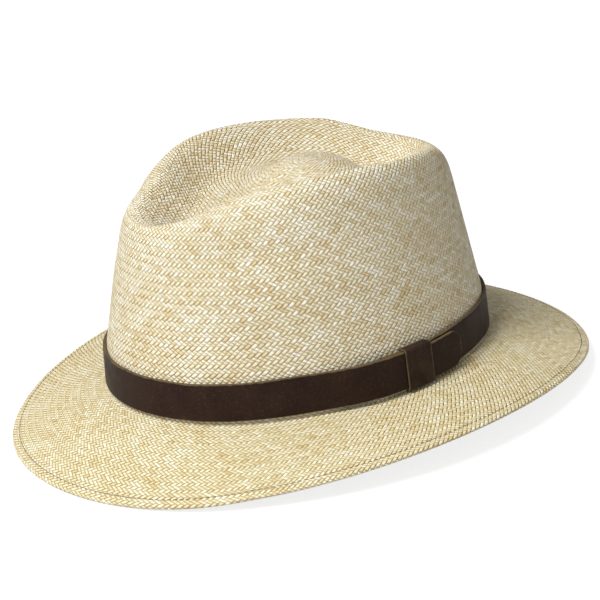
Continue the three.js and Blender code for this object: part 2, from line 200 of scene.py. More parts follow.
class HatColours(PropertyGroup):
    """Colours of the hat's materials"""

    straw_ivory: colour("Ivory straw", "The palest strands", (0.91, 0.85, 0.70))
    straw_cream: colour("Cream straw", "Most of the strands", (0.80, 0.705, 0.48))
    straw_gold: colour("Golden straw", "The darkest strands", (0.68, 0.52, 0.27))
    straw_gap: colour("Straw gaps", "The shadowed gaps between strands", (0.23, 0.145, 0.055))
    straw_brim: colour("Brim tint", "What the straw's colour is multiplied by on the brim", (1, 0.985, 0.88))
    leather: colour("Band leather", "The waxed leather of the band", (0.018, 0.0075, 0.0058))
    leather_worn: colour("Worn leather", "The band where it is rubbed", (0.072, 0.047, 0.027))
    leather_rubbed: colour("Rubbed edge", "The band along its rubbed edges", (0.135, 0.105, 0.052))
    leather_edge: colour("Leather edge", "The cut edge of the band", (0.115, 0.078, 0.04))
    sweatband: colour("Sweatband", "The leather of the sweatband", (0.30, 0.16, 0.07))
    sweatband_worn: colour("Sweatband high spots", "Its paler high spots", (0.42, 0.25, 0.12))
    hem_thread: colour("Hem thread", "The darker thread that sews the hem", (0.30, 0.22, 0.13))
    thread: colour("Thread", "The thread that sews the sweatband", (0.62, 0.50, 0.33))
    tape: colour("Tape", "The tape that binds the sweatband's edge", (0.50, 0.38, 0.22))
    reed: colour("Reed", "The plastic reed in the tape", (0.80, 0.77, 0.69))
    floor: colour("Floor", "The pale floor", (0.9, 0.9, 0.9))


# ---------------------------------------------------------------- the hat's form


def smooth(x):
    t = np.clip(x, 0, 1)
    return t * t * (3 - 2 * t)


def side_arc(hat):
    """Radius and centre offset of the head oval's side arcs, and where its end arcs begin"""
    along = hat.head_length / 2 - hat.head_end_radius
    half = hat.head_width / 2
    radius = (along**2 + half**2 - hat.head_end_radius**2) / (2 * (half - hat.head_end_radius))
    return radius, radius - half, along, math.atan2(radius - half, along)


def oval(hat, angle, offset):
    """Points on the head oval moved out by an offset"""
    radius, centre, along, ends = side_arc(hat)
    a = np.arctan2(np.sin(angle), np.cos(angle))
    side = np.where(a < 0, -1.0, 1.0)
    turn = np.abs(a)
    at_end = (turn < ends) | (turn > math.pi - ends)
    cx = np.where(at_end, 0.0, -centre * side)
    cy = np.where(at_end, np.where(turn < ends, -along, along), 0.0)
    r = np.where(at_end, hat.head_end_radius, radius) + offset
    return cx + r * np.sin(a), cy - r * np.cos(a)


def around(row, angle):
    """A smooth value from a row of seven, the same on both sides of the hat"""
    row = np.array(row)
    a = np.abs(np.arctan2(np.sin(angle), np.cos(angle)))
    i = np.clip(np.searchsorted(CROWN_ANGLES, a) - 1, 0, 5)
    slope = np.zeros(7)
    slope[1:-1] = (row[2:] - row[:-2]) / (CROWN_ANGLES[2:] - CROWN_ANGLES[:-2])
    span = CROWN_ANGLES[i + 1] - CROWN_ANGLES[i]
    t = (a - CROWN_ANGLES[i]) / span
    h = 3 * t**2 - 2 * t**3
    ends = (1 - h) * row[i] + h * row[i + 1]
    return ends + span * ((t**3 - 2 * t**2 + t) * slope[i] + (t**3 - t**2) * slope[i + 1])


def wall_lean(hat, angle, z):
    """How far the wall has come in at a height: little at the base, more above it"""
    taper = hat.wall_taper + hat.wall_taper_front * np.cos(angle)
    return np.clip(z, 0, hat.base_height) * hat.base_lean + np.maximum(0, z - hat.base_height) * taper


def wall_inset(hat, angle, z):
    """How far the wall has come in at a height, with the two pinches"""
    a = np.degrees(np.abs(np.arctan2(np.sin(angle), np.cos(angle))))
    round_it = np.exp(-(((a - PINCH_ANGLE) / PINCH_SPREAD) ** 2))
    pinch = round_it * np.exp(-(((z - PINCH_HEIGHT) / PINCH_TALL) ** 2))
    return wall_lean(hat, angle, z) + hat.dent_depth * pinch


def place(hat, angle, offset, z):
    """Points at a height, moved out from the head oval by an offset"""
    x, y = oval(hat, angle, offset)
    return np.stack([x, y, z + 0 * x], -1)


def wall_point(hat, angle, z):
    return place(hat, angle, hat.straw_out - wall_inset(hat, angle, z), z)


def ridge_point(hat, angle):
    return place(hat, angle, hat.straw_out - around(hat.ridge_inset, angle), around(hat.ridge_height, angle))


def shoulder_start(hat, angle):
    return around(hat.ridge_height, angle) - around(hat.shoulder, angle)


def shoulder_point(hat, angle, t):
    """The rounded shoulder, t from 0 at the wall to 1 at the ridge"""
    tall = around(hat.shoulder, angle)
    z0 = shoulder_start(hat, angle)
    i0 = wall_inset(hat, angle, z0)
    i3 = around(hat.ridge_inset, angle)
    lean = (wall_inset(hat, angle, z0 + MM) - i0) / MM
    w = [(1 - t) ** 3, 3 * (1 - t) ** 2 * t, 3 * (1 - t) * t**2, t**3]
    insets = [i0, i0 + 0.5 * tall * lean, i3 - 0.6 * np.maximum(i3 - i0, 0.002), i3]
    heights = [z0, z0 + 0.5 * tall, z0 + tall, z0 + tall]
    inset = sum(a * b for a, b in zip(w, insets))
    return place(hat, angle, hat.straw_out - inset, sum(a * b for a, b in zip(w, heights)))


def top_point(hat, angle, u):
    """The crease and mound inside the ridge, u from 0 at the middle to 1 at the ridge"""
    ridge = ridge_point(hat, angle)
    middle = np.stack([0 * angle, 0 * angle + hat.mound_centre, ridge[:, 2]], -1)
    p = middle + (ridge - middle) * u
    reach = np.linalg.norm(ridge - middle, axis=-1)
    groove = smooth(reach * (1 - u) / around(hat.groove_width, angle))
    mound = 1 - smooth((reach * u / around(hat.mound_reach, angle)) ** MOUND_FULLNESS)
    p[:, 2] += (around(hat.groove_floor, angle) - p[:, 2]) * groove
    p[:, 2] += (hat.mound_height - p[:, 2]) * mound
    return p


def brim_width(hat, angle):
    return hat.brim_width + BRIM_WIDTH_FRONT * np.cos(angle) + BRIM_WIDTH_FRONT_BACK * np.cos(2 * angle)


def brim_edge(angle):
    """Height of the brim's edge: low at the front and back, higher at the sides"""
    return sum(c * np.cos(k * angle) for k, c in enumerate(BRIM_WAVES))


def brim_point(hat, angle, out):
    t = np.maximum((out - hat.break_radius) / (brim_width(hat, angle) - hat.break_radius), 0)
    return place(hat, angle, hat.straw_out + out, brim_edge(angle) * t**BRIM_CURVE)


def break_point(hat, angle, turn):
    z = hat.break_radius * (1 - math.sin(turn))
    out = hat.break_radius * (1 - math.cos(turn)) - wall_lean(hat, angle, z)
    return place(hat, angle, hat.straw_out + out, z)


def fold_point(hat, angle, turn, back):
    """The hem: round the edge by a turn, then back under the brim"""
    r = hat.straw_thickness + HEM_PLAY
    width = brim_width(hat, angle) - r
    edge = brim_point(hat, angle, width)
    inner = brim_point(hat, angle, width - back)
    lean = (edge[:, 2] - brim_point(hat, angle, width - MM)[:, 2]) / MM
    tilt = np.arctan(lean)
    x, y = oval(hat, angle, hat.straw_out + width - back)
    out = np.stack([np.sin(angle), -np.cos(angle), 0 * angle], -1)
    up = np.array([0, 0, 1.0])
    along = out * np.cos(tilt)[:, None] + up * np.sin(tilt)[:, None]
    normal = up * np.cos(tilt)[:, None] - out * np.sin(tilt)[:, None]
    base = np.stack([x, y, inner[:, 2]], -1)
    return base + along * r * math.sin(turn) - normal * r * (1 - math.cos(turn))


# ---------------------------------------------------------------- making meshes


def deselect():
    if bpy.context.mode != "OBJECT":
        bpy.ops.object.mode_set(mode="OBJECT")
    bpy.ops.object.select_all(action="DESELECT")


def distance_along(points):
    """Distance from the first point to each point of a path"""
    return np.concatenate([[0], np.cumsum(np.linalg.norm(np.diff(points, axis=0), axis=-1))])


def choose(obj):
    deselect()
    obj.select_set(True)
    bpy.context.view_layer.objects.active = obj


def open_mesh(obj, action="SELECT"):
    """Starts edit mode with all of the mesh selected, or none of it"""
    choose(obj)
    bpy.ops.object.mode_set(mode="EDIT")
    bpy.ops.mesh.select_all(action=action)


def weld(obj):
    """Joins the points that lie together, and turns the faces outwards"""
    open_mesh(obj)
    bpy.ops.mesh.remove_doubles(threshold=2e-6)
    bpy.ops.mesh.normals_make_consistent(inside=False)
    bpy.ops.object.mode_set(mode="OBJECT")


def apply_modifier(obj, kind, **settings):
    choose(obj)
    modifier = obj.modifiers.new(kind.title(), kind)
    for key, value in settings.items():
        setattr(modifier, key, value)
    bpy.ops.object.modifier_apply(modifier=modifier.name)


def round_edges(obj, width, angle):
    """Rounds the edges where faces meet at more than an angle in degrees"""
    limit = math.radians(angle)
    apply_modifier(obj, "BEVEL", width=width, segments=2, limit_method="ANGLE", angle_limit=limit)


def net(name, points, uv):
    """A grid laid onto points[row, column], with uv(face row, row, column) for its corners"""
    rows, columns = points.shape[0] - 1, points.shape[1] - 1
    deselect()
    bpy.ops.mesh.primitive_grid_add(x_subdivisions=columns, y_subdivisions=rows, size=1)
    obj = bpy.context.object
    obj.name = name
    obj.data.name = name
    flat = np.empty(len(obj.data.vertices) * 3)
    obj.data.vertices.foreach_get("co", flat)
    flat = flat.reshape(-1, 3)
    column = np.rint((flat[:, 0] + 0.5) * columns).astype(int)
    row = np.rint((flat[:, 1] + 0.5) * rows).astype(int)
    obj.data.vertices.foreach_set("co", points[row, column].ravel())
    corner = np.empty(len(obj.data.loops), int)
    obj.data.loops.foreach_get("vertex_index", corner)
    r, c = row[corner], column[corner]
    face_row = np.repeat(r.reshape(-1, 4).min(axis=1), 4)
    obj.data.uv_layers[0].name = "surface"
    obj.data.uv_layers[0].data.foreach_set("uv", uv(face_row, r, c).ravel())
    obj.data.update()
    return obj


def soften(obj, angle=35):
    choose(obj)
    bpy.ops.object.shade_smooth_by_angle(angle=math.radians(angle))


def finish_piece(obj, material, body, nodes):
    obj.data.materials.clear()
    obj.data.materials.append(material)
    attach(obj, body)
    if nodes:
        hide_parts(*nodes)


def copies(name, model, places):
    """Many copies of one small model as a mesh; each place is an origin and three axes"""
    co = np.array([v.co for v in model.data.vertices])
    faces = [tuple(p.vertices) for p in model.data.polygons]
    points = [o + co[:, :1] * x + co[:, 1:2] * y + co[:, 2:] * z for o, x, y, z in places]
    all_faces = [tuple(i + k * len(co) for i in f) for k in range(len(places)) for f in faces]
    mesh = bpy.data.meshes.new(name)
    mesh.from_pydata(np.concatenate(points).tolist(), [], all_faces)
    obj = bpy.data.objects.new(name, mesh)
    bpy.context.collection.objects.link(obj)
    return obj


# ---------------------------------------------------------------- node helpers


def group_tree(name, inputs, outputs):
    """A shader node group with its named sockets"""
    tree = bpy.data.node_groups.new(name, "ShaderNodeTree")
    for label, kind, default in inputs:
        socket = tree.interface.new_socket(name=label, in_out="INPUT", socket_type=kind)
        if default is not None:
            socket.default_value = default
    for label, kind in outputs:
        tree.interface.new_socket(name=label, in_out="OUTPUT", socket_type=kind)
    return tree, tree.nodes.new("NodeGroupInput"), tree.nodes.new("NodeGroupOutput")


def feed(tree, socket, value):
    if isinstance(value, bpy.types.NodeSocket):
        tree.links.new(value, socket)
    elif value is not None:
        socket.default_value = value


def math_node(tree, operation, *values, clamp=False):
    node = tree.nodes.new("ShaderNodeMath")
    node.operation = operation
    node.use_clamp = clamp
    for socket, value in zip(node.inputs, values):
        feed(tree, socket, value)
    return node.outputs[0]


def calculator(tree):
    """Math nodes of one tree, as m(operation, values)"""
    return lambda *values, **settings: math_node(tree, *values, **settings)


def separate(tree, vector):
    node = tree.nodes.new("ShaderNodeSeparateXYZ")
    tree.links.new(vector, node.inputs[0])
    return node.outputs


def combine(tree, x, y, z):
    node = tree.nodes.new("ShaderNodeCombineXYZ")
    for socket, value in zip(node.inputs, (x, y, z)):
        feed(tree, socket, value)
    return node.outputs[0]


def blend_colour(tree, factor, a, b, mode="MIX"):
    node = tree.nodes.new("ShaderNodeMix")
    node.data_type = "RGBA"
    node.blend_type = mode
    for name, value in (("Factor_Float", factor), ("A_Color", a), ("B_Color", b)):
        feed(tree, next(s for s in node.inputs if s.identifier == name), value)
    return next(s for s in node.outputs if s.identifier == "Result_Color")


def ramp(tree, factor, low, high, start=0.0, end=1.0):
    """A value that goes from start to end while the factor goes from low to high"""
    node = tree.nodes.new("ShaderNodeMapRange")
    node.interpolation_type = "SMOOTHSTEP"
    for socket, value in zip(node.inputs, (factor, low, high, start, end)):
        feed(tree, socket, value)
    return node.outputs[0]


def noise(tree, vector, scale, detail=2.0, roughness=0.5):
    node = tree.nodes.new("ShaderNodeTexNoise")
    feed(tree, node.inputs["Vector"], vector)
    node.inputs["Scale"].default_value = scale
    node.inputs["Detail"].default_value = detail
    node.inputs["Roughness"].default_value = roughness
    return node.outputs["Fac"]


def white(tree, vector):
    node = tree.nodes.new("ShaderNodeTexWhiteNoise")
    node.noise_dimensions = "3D"
    feed(tree, node.inputs["Vector"], vector)
    return node.outputs["Value"]


def bump(tree, height, strength, distance, normal=None):
    node = tree.nodes.new("ShaderNodeBump")
    node.inputs["Strength"].default_value = strength
    node.inputs["Distance"].default_value = distance
    feed(tree, node.inputs["Height"], height)
    feed(tree, node.inputs["Normal"], normal)
    return node.outputs["Normal"]


def new_material(name):
    material = bpy.data.materials.new(name)
    material.use_nodes = True
    tree = material.node_tree
    shader = next(n for n in tree.nodes if n.type == "BSDF_PRINCIPLED")
    return material, tree, shader


def dress(tree, shader, colour, roughness, normal=None):
    for name, value in (("Base Color", colour), ("Roughness", roughness), ("Normal", normal)):
        feed(tree, shader.inputs[name], value)


def object_coordinates(tree):
    return tree.nodes.new("ShaderNodeTexCoord").outputs["Object"]


def surface_coordinates(tree):
    node = tree.nodes.new("ShaderNodeUVMap")
    node.uv_map = "surface"
    return node.outputs["UV"]


def place_group(tree, group, **values):
    node = tree.nodes.new("ShaderNodeGroup")
    node.node_tree = group
    for name, value in values.items():
        feed(tree, node.inputs[name.replace("_", " ")], value)
    return node.outputs


def rgba(value):
    return (*value, 1.0)


# ---------------------------------------------------------------- node groups


def straw_weave_group():
    """Twill of flat strands at 45 degrees to the rows: each passes over two and under two"""
    tree, source, result = group_tree(
        "Straw Weave",
        [("Surface", "NodeSocketVector", None)],
        [
            ("Tone", "NodeSocketFloat"),
            ("Gap", "NodeSocketFloat"),
            ("Height", "NodeSocketFloat"),
            ("Brim", "NodeSocketFloat"),
        ],
    )
    m = calculator(tree)
    u, v, _ = separate(tree, source.outputs["Surface"])
    period = 4.0
    p, q = m("ADD", u, v), m("SUBTRACT", u, v)
    i, j = m("FLOOR", p), m("FLOOR", q)
    fp, fq = m("SUBTRACT", p, i), m("SUBTRACT", q, j)
    k = m("SUBTRACT", i, j)
    step = m("FLOORED_MODULO", k, period)
    over = m("LESS_THAN", step, 1.5)
    under = m("SUBTRACT", 1.0, over)
    pick = lambda a, b: m("ADD", m("MULTIPLY", a, over), m("MULTIPLY", b, under))
    across = pick(fp, fq)
    along_over = m("MULTIPLY", m("ADD", fq, m("SUBTRACT", 1.0, step)), 0.5)
    along_under = m("MULTIPLY", m("ADD", fp, m("SUBTRACT", step, 2.0)), 0.5)
    along = pick(along_over, along_under)
    strand = pick(i, j)
    float_row = m("DIVIDE", m("SUBTRACT", k, step), period)
    # side runs to 1 at a strand's two edges, end at the ends of its float; one kind also dips halfway
    side = m("ABSOLUTE", m("SUBTRACT", m("MULTIPLY", across, 2.0), 1.0))
    dips = pick(along, m("FRACT", m("MULTIPLY", along, 2.0)))
    end = m("ABSOLUTE", m("SUBTRACT", m("MULTIPLY", dips, 2.0), 1.0))
    flatness = m("SUBTRACT", 1.0, m("POWER", side, 5.0))
    arch = m("SUBTRACT", 1.0, m("POWER", end, 3.0))
    brick = white(tree, combine(tree, strand, float_row, over))
    thread = white(tree, combine(tree, strand, over, 7.0))
    streak = noise(
        tree,
        combine(tree, m("MULTIPLY", across, 3.0), m("MULTIPLY", strand, 3.7), m("MULTIPLY", along, 0.7)),
        1.0,
        2.0,
    )
    tone = m("ADD", m("MULTIPLY", brick, 0.48), m("MULTIPLY", thread, 0.32))
    tone = m("ADD", tone, m("MULTIPLY", m("SUBTRACT", streak, 0.3), 0.5))
    slack = m("MULTIPLY", brick, 0.1)
    # painted shade in the gaps: beside one kind of strand it is painted deep, as the shadow the key light
    # casts across them, and beside the other kind only faint; the ends of each float get painted shade where
    # the strand dives under
    edge_shade = m("MULTIPLY", ramp(tree, m("ADD", side, slack), 0.74, 1.02), pick(1.0, 0.18))
    end_shade = m("MULTIPLY", ramp(tree, end, 0.78, 1.0), pick(0.45, 0.3))
    height = m("MULTIPLY", flatness, m("ADD", 0.3, m("MULTIPLY", arch, pick(0.7, 0.4))))
    height = m("ADD", height, m("MULTIPLY", streak, 0.12))
    feed(tree, result.inputs["Tone"], tone)
    # the Gap output is the painted shade between the strands
    feed(tree, result.inputs["Gap"], m("MAXIMUM", edge_shade, end_shade))
    feed(tree, result.inputs["Brim"], m("GREATER_THAN", v, 0.0))
    feed(tree, result.inputs["Height"], height)
    return tree


def leather_group():
    """Waxed leather: fine pebbles, pores and slow changes of tone"""
    tree, source, result = group_tree(
        "Leather Grain",
        [
            ("Place", "NodeSocketVector", None),
            ("Pebble Scale", "NodeSocketFloat", 1500.0),
        ],
        [("Mottle", "NodeSocketFloat"), ("Speck", "NodeSocketFloat"), ("Height", "NodeSocketFloat")],
    )
    where = source.outputs["Place"]
    pebble = tree.nodes.new("ShaderNodeTexVoronoi")
    pebble.feature = "SMOOTH_F1"
    tree.links.new(where, pebble.inputs["Vector"])
    tree.links.new(source.outputs["Pebble Scale"], pebble.inputs["Scale"])
    cells = pebble.outputs["Distance"]
    mottle = noise(tree, where, 90.0, 5.0, 0.6)
    speck = ramp(tree, noise(tree, where, 900.0, 3.0, 0.7), 0.54, 0.72)
    fine = noise(tree, where, 2600.0, 2.0, 0.6)
    m = calculator(tree)
    height = m("ADD", m("MULTIPLY", cells, 0.7), m("MULTIPLY", fine, 0.3))
    feed(tree, result.inputs["Mottle"], ramp(tree, mottle, 0.3, 0.72))
    feed(tree, result.inputs["Speck"], speck)
    feed(tree, result.inputs["Height"], height)
    return tree


def edge_group():
    """Masks of a strip's edges from its surface map: the cut face and the rubbed border beside it"""
    tree, source, result = group_tree(
        "Strip Edges",
        [
            ("Surface", "NodeSocketVector", None),
            ("Place", "NodeSocketVector", None),
            ("Width", "NodeSocketFloat", 0.1),
        ],
        [("Cut", "NodeSocketFloat"), ("Rub", "NodeSocketFloat")],
    )
    m = calculator(tree)
    _, across, _ = separate(tree, source.outputs["Surface"])
    off = m("MULTIPLY", m("ABSOLUTE", m("SUBTRACT", across, 0.5)), 2.0)
    rough = noise(tree, source.outputs["Place"], 300.0, 3.0)
    off = m("ADD", off, m("MULTIPLY", m("SUBTRACT", rough, 0.5), 0.16))
    rub_start = m("SUBTRACT", 1.0, source.outputs["Width"])
    feed(tree, result.inputs["Rub"], ramp(tree, off, rub_start, 1.0))
    feed(tree, result.inputs["Cut"], ramp(tree, off, 0.965, 1.0))
    return tree


def thread_group():
    """The twist of sewing thread"""
    tree, source, result = group_tree(
        "Thread Twist",
        [("Place", "NodeSocketVector", None)],
        [("Shade", "NodeSocketFloat"), ("Height", "NodeSocketFloat")],
    )
    fine = noise(tree, source.outputs["Place"], 3500.0, 2.0, 0.6)
    slow = noise(tree, source.outputs["Place"], 200.0, 2.0)
    m = calculator(tree)
    mixed = m("ADD", m("MULTIPLY", fine, 0.5), m("MULTIPLY", slow, 0.5))
    feed(tree, result.inputs["Shade"], ramp(tree, mixed, 0.35, 0.65))
    feed(tree, result.inputs["Height"], fine)
    return tree


def shared_group(name, make):
    return bpy.data.node_groups.get(name) or make()


# ---------------------------------------------------------------- materials


def straw_material(colours):
    material, tree, shader = new_material("Palm Straw")
    twill = shared_group("Straw Weave", straw_weave_group)
    weave = place_group(tree, twill, Surface=surface_coordinates(tree))
    where = object_coordinates(tree)
    patch = noise(tree, where, 28.0, 3.0, 0.55)
    fibre = noise(tree, where, 900.0, 2.0, 0.6)
    m = calculator(tree)
    tone = m("ADD", weave["Tone"], m("MULTIPLY", m("SUBTRACT", patch, 0.5), 0.35))
    ivory, cream, gold = (rgba(c) for c in (colours.straw_ivory, colours.straw_cream, colours.straw_gold))
    pale = blend_colour(tree, ramp(tree, tone, 0.12, 0.5), ivory, cream)
    strands = blend_colour(tree, ramp(tree, tone, 0.52, 0.95), pale, gold)
    # painted shade: the straw is darkened towards the shadowed gap colour between the strands
    gap = m("MULTIPLY", weave["Gap"], 0.85)
    tint = blend_colour(tree, gap, strands, rgba(colours.straw_gap))
    tint = blend_colour(tree, weave["Brim"], tint, rgba(colours.straw_brim), "MULTIPLY")
    roughness = ramp(tree, m("ADD", weave["Tone"], m("MULTIPLY", fibre, 0.4)), 0.1, 1.1, 0.42, 0.68)
    dress(tree, shader, tint, roughness, bump(tree, weave["Height"], 1.0, 0.0009))
    shader.inputs["Specular IOR Level"].default_value = 0.35
    return material


def band_material(colours, name="Waxed Band Leather", rub=0.07, worn_share=0.18):
    material, tree, shader = new_material(name)
    where = object_coordinates(tree)
    grain = place_group(tree, shared_group("Leather Grain", leather_group), Place=where)
    edge_masks = shared_group("Strip Edges", edge_group)
    edges = place_group(tree, edge_masks, Surface=surface_coordinates(tree), Place=where, Width=rub)
    m = calculator(tree)
    scuffs = m("MULTIPLY", grain["Speck"], 0.45)
    worn = m("ADD", m("MULTIPLY", grain["Mottle"], worn_share), scuffs, clamp=True)
    tint = blend_colour(tree, worn, rgba(colours.leather), rgba(colours.leather_worn))
    tint = blend_colour(tree, m("MULTIPLY", edges["Rub"], 0.75), tint, rgba(colours.leather_rubbed))
    tint = blend_colour(tree, edges["Cut"], tint, rgba(colours.leather_edge))
    roughness = ramp(tree, m("ADD", grain["Mottle"], edges["Cut"]), 0.0, 1.6, 0.5, 0.72)
    dress(tree, shader, tint, roughness, bump(tree, grain["Height"], 0.7, 0.00015))
    shader.inputs["Specular IOR Level"].default_value = 0.15
    shader.inputs["Specular Tint"].default_value = (1.0, 0.89, 0.78, 1.0)
    return material


def sweatband_material(colours):
    material, tree, shader = new_material("Sweatband Leather")
    where = object_coordinates(tree)
    grain = place_group(tree, shared_group("Leather Grain", leather_group), Place=where, Pebble_Scale=1100.0)
    tint = blend_colour(tree, grain["Mottle"], rgba(colours.sweatband), rgba(colours.sweatband_worn))
    roughness = ramp(tree, grain["Mottle"], 0.0, 1.0, 0.42, 0.58)
    dress(tree, shader, tint, roughness, bump(tree, grain["Height"], 0.5, 0.00015))
    return material


def thread_material(name, colour):
    material, tree, shader = new_material(name)
    twist = place_group(tree, shared_group("Thread Twist", thread_group), Place=object_coordinates(tree))
    dark = tuple(0.55 * c for c in colour)
    tint = blend_colour(tree, twist["Shade"], rgba(dark), rgba(colour))
    roughness = ramp(tree, twist["Shade"], 0.0, 1.0, 0.75, 0.6)
    dress(tree, shader, tint, roughness, bump(tree, twist["Height"], 0.5, 0.0001))
    return material


def tape_material(colours):
    """Woven tape, ribbed across its length"""
    material, tree, shader = new_material("Binding Tape")
    m = calculator(tree)
    along, _, _ = separate(tree, surface_coordinates(tree))
    rib = m("ABSOLUTE", m("SINE", m("MULTIPLY", along, math.pi * 1400)))
    slow = noise(tree, object_coordinates(tree), 300.0, 3.0)
    shade = m("ADD", m("MULTIPLY", rib, 0.6), m("MULTIPLY", slow, 0.5))
    dark = tuple(0.5 * c for c in colours.tape)
    tint = blend_colour(tree, ramp(tree, shade, 0.1, 0.8), rgba(dark), rgba(colours.tape))
    dress(tree, shader, tint, ramp(tree, shade, 0.0, 1.0, 0.85, 0.7), bump(tree, rib, 0.6, 0.0001))
    return material


def reed_material(colours):
    material, tree, shader = new_material("Reed Plastic")
    haze = noise(tree, object_coordinates(tree), 250.0, 4.0)
    dull = tuple(0.8 * c for c in colours.reed)
    tint = blend_colour(tree, haze, rgba(dull), rgba(colours.reed))
    dress(tree, shader, tint, ramp(tree, haze, 0.2, 0.8, 0.3, 0.5))
    return material


# ---------------------------------------------------------------- the straw body


def straw_rows(hat):
    """Rows of the straw's face from the crown's middle to the hem's end: part, share of it, and points"""
    top, shoulder, wall, turn, brim, fold, tuck = TOP_ROWS, 16, 30, 4, 40, 6, 4
    fall = lambda a, t: shoulder_start(hat, a) * (1 - t) + 2 * hat.break_radius * t
    reach = lambda a: brim_width(hat, a) - hat.straw_thickness - HEM_PLAY - hat.break_radius
    out = lambda a, t: hat.break_radius + t * reach(a)
    rows = [("top", i / top, lambda a, t=i / top: top_point(hat, a, t)) for i in range(top + 1)]
    for i in range(1, shoulder + 1):
        rows.append(("wall", 0, lambda a, t=1 - i / shoulder: shoulder_point(hat, a, t)))
    for i in range(1, wall + 1):
        rows.append(("wall", 0, lambda a, t=i / wall: wall_point(hat, a, fall(a, t))))
    for i in range(turn):
        rows.append(("wall", 0, lambda a, t=i / turn: break_point(hat, a, t * math.pi / 2)))
    rows.append(("brim", 0, lambda a: break_point(hat, a, math.pi / 2)))
    for i in range(1, brim + 1):
        rows.append(("brim", i / brim, lambda a, t=i / brim: brim_point(hat, a, out(a, t))))
    for i in range(1, fold + 1):
        rows.append(("brim", 1, lambda a, t=i / fold: fold_point(hat, a, t * math.pi, 0)))
    for i in range(1, tuck + 1):
        rows.append(("brim", 1, lambda a, t=i / tuck: fold_point(hat, a, math.pi, t * hat.hem_width)))
    return rows


def strands_round(kind, share, pitch):
    """How many strands lie side by side round the hat in each ring of the weave"""
    if kind == "wall":
        return WALL_STRANDS
    if kind == "brim":
        return next((number for end, number in BRIM_STRANDS if share < end), BRIM_STRANDS[-1][1])
    if share >= RIDGE_SHARE:
        return RIDGE_STRANDS
    ring = RIDGE_SHARE
    while ring > share + 1e-6 and ring > 0.05:
        ring *= RING_SHRINK
    return max(8, 2 * round(TOP_STRAND_FINENESS * ring * RIDGE_ROUND / pitch / 2))


def build_straw(hat):
    """Crown and brim as one sheet, its columns evenly spaced along a line just outside the wall"""
    columns = 288
    rows = straw_rows(hat)
    fine = np.linspace(-math.pi, math.pi, 2001)
    round_run = distance_along(place(hat, fine, 0.01, 0.0))
    angle = np.interp(np.linspace(0, round_run[-1], columns + 1), round_run, fine)
    points = np.stack([row[2](angle) for row in rows])
    steps = np.linalg.norm(np.diff(points, axis=0), axis=-1)
    run = np.concatenate([np.zeros((1, columns + 1)), np.cumsum(steps, axis=0)])
    kinds = [row[0] for row in rows]
    first_brim = kinds.index("brim")
    v = (run - run[first_brim]) / hat.weave_step
    ridge_run = run[kinds.index("wall") - 1].mean()
    share = np.array([row[1] for row in rows])
    below = kinds[1:] + kinds[-1:]
    count = np.array([strands_round(kind, part, hat.weave_pitch) for kind, part in zip(below, share)])

    def surface(face_row, r, c):
        inner = (face_row < TOP_ROWS) & (share[np.minimum(face_row, TOP_ROWS)] < RIDGE_SHARE)
        ring_run = TOP_ROW_FINENESS * share[np.minimum(r, TOP_ROWS)] * ridge_run
        uv_v = np.where(inner, ring_run / hat.weave_step + TOP_ROW_START, v[r, c])
        return np.stack([count[face_row] * c / columns - ROW_LEAN * uv_v, uv_v], -1)

    obj = net("straw_weave", points, surface)
    weld(obj)
    if obj.data.polygons[0].normal.z < 0:
        open_mesh(obj)
        bpy.ops.mesh.flip_normals()
        bpy.ops.object.mode_set(mode="OBJECT")
    apply_modifier(obj, "SOLIDIFY", thickness=hat.straw_thickness, offset=-1, use_rim=True)
    soften(obj, 60)
    return obj


# ---------------------------------------------------------------- swept strips


def strip_place(hat, angle, offset, z):
    """A point that leans in with the wall, as the band and sweatband do"""
    return place(hat, angle, offset - wall_lean(hat, angle, z), z)


def sweep(name, hat, angle, offset, z, across):
    """A strip or rod along the head: offset, z and across are [place along, place round the section]"""
    close = lambda a: np.concatenate([a, a[:, :1]], axis=1)
    offset, z, across = close(offset), close(z), close(across)
    points = np.stack([strip_place(hat, np.full(len(o), a), o, h) for a, o, h in zip(angle, offset, z)])
    run = distance_along(points[:, 0])
    uv = lambda face_row, r, c: np.stack([run[r], across[r, c]], -1)
    obj = net(name, points, uv)
    weld(obj)
    return obj


def same_section(values, places):
    """One section's values, the same at every place along"""
    return np.repeat(values[None, :], places, axis=0)


def close_ends(obj):
    open_mesh(obj, "DESELECT")
    bpy.ops.mesh.select_mode(type="EDGE")
    bpy.ops.mesh.select_non_manifold()
    bpy.ops.mesh.fill_holes(sides=0)
    bpy.ops.mesh.select_all(action="SELECT")
    bpy.ops.mesh.normals_make_consistent(inside=False)
    bpy.ops.object.mode_set(mode="OBJECT")


def rounded_section(thick, tall, radius, faces=10, corner=4):
    """A strip's section with rounded corners: lists of depth and height, and of height as a share"""
    depth, height = [], []
    near, far, low, high = radius, thick - radius, radius, tall - radius
    corners = [(far, low, -90), (far, high, 0), (near, high, 90), (near, low, 180)]
    for k, (d, h, start) in enumerate(corners):
        for i in range(corner + 1):
            t = math.radians(start + 90 * i / corner)
            depth.append(d + radius * math.cos(t))
            height.append(h + radius * math.sin(t))
        if k % 2 == 0:
            here, there = height[-1], corners[k + 1][1]
            for i in range(1, faces):
                depth.append(depth[-1])
                height.append(here + (there - here) * i / faces)
    depth, height = np.array(depth), np.array(height)
    return depth, height, height / tall


def band_angles(hat, band):
    """The band's standoff at the keeper, degrees per metre there, its start, the keeper's end and the tip"""
    radius = side_arc(hat)[0]
    back = hat.straw_out + band.gap + band.keeper_thickness
    standoff = back + band.gap
    per = math.degrees(1 / (radius + standoff))
    half = band.keeper_width / 2 * per
    travel = band.keeper_travel * per
    start = band.keeper_angle - half - travel - UNDERLAP * per
    end = band.keeper_angle + half + travel
    tongue = band.keeper_angle + half + band.tongue_length * per
    return standoff, per, start, end, tongue


